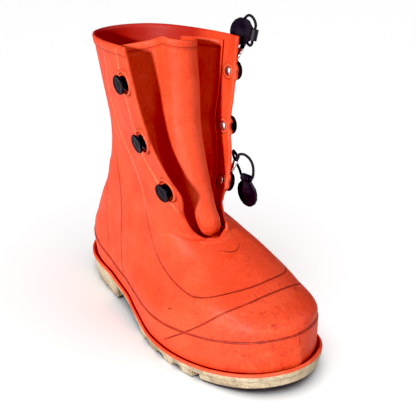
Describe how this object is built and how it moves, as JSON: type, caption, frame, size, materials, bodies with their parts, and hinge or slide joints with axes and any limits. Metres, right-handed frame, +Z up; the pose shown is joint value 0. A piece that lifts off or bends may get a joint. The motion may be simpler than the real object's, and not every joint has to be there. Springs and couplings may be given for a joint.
{
  "type": "hazmat boot",
  "caption": "Right pull-on hazmat boot with a moulded upper, folding front gusset, spool buttons, elastic pull loops and a lugged sole.",
  "frame": {"origin": "on the floor under the middle of the boot's length and width, cords and tabs left out", "axes": "+Z up; toe toward -Y and heel toward +Y; lateral (outer) side toward -X and medial (inner) side toward +X"},
  "size_m": [0.1275, 0.32, 0.2959],
  "materials": {
    "boot_orange": "bright orange-red moulded rubber, satin to glossy",
    "sole_cream": "cream rubber, matt, grimy at the tread",
    "insole_grey": "dark grey felt-faced foam, matt",
    "button_black": "matt black rubber",
    "cord_black": "fine braided elastic cord, matt black",
    "rivet_steel": "bright pressed steel, lightly worn"
  },
  "bodies": {
    "root": {"upper": "boot_orange", "gusset": "boot_orange", "outsole": "sole_cream", "welt": "boot_orange", "insole": "insole_grey", "button_lateral_top": "button_black", "button_lateral_mid": "button_black", "button_lateral_low": "button_black", "button_medial_top": "button_black", "button_medial_mid": "button_black", "button_medial_low": "button_black", "rivet_lateral_top": "rivet_steel", "rivet_lateral_mid": "rivet_steel", "rivet_lateral_low": "rivet_steel", "rivet_medial_top": "rivet_steel", "rivet_medial_mid": "rivet_steel", "rivet_medial_low": "rivet_steel", "ferrule_top": "rivet_steel", "neck_loop_top": "cord_black", "pull_cord_top": "cord_black", "pull_tab_top": "button_black", "ferrule_mid": "rivet_steel", "neck_loop_mid": "cord_black", "pull_cord_mid": "cord_black", "pull_tab_mid": "button_black", "ferrule_low": "rivet_steel", "neck_loop_low": "cord_black", "pull_cord_low": "cord_black", "pull_tab_low": "button_black"}
  },
  "joints": []
}
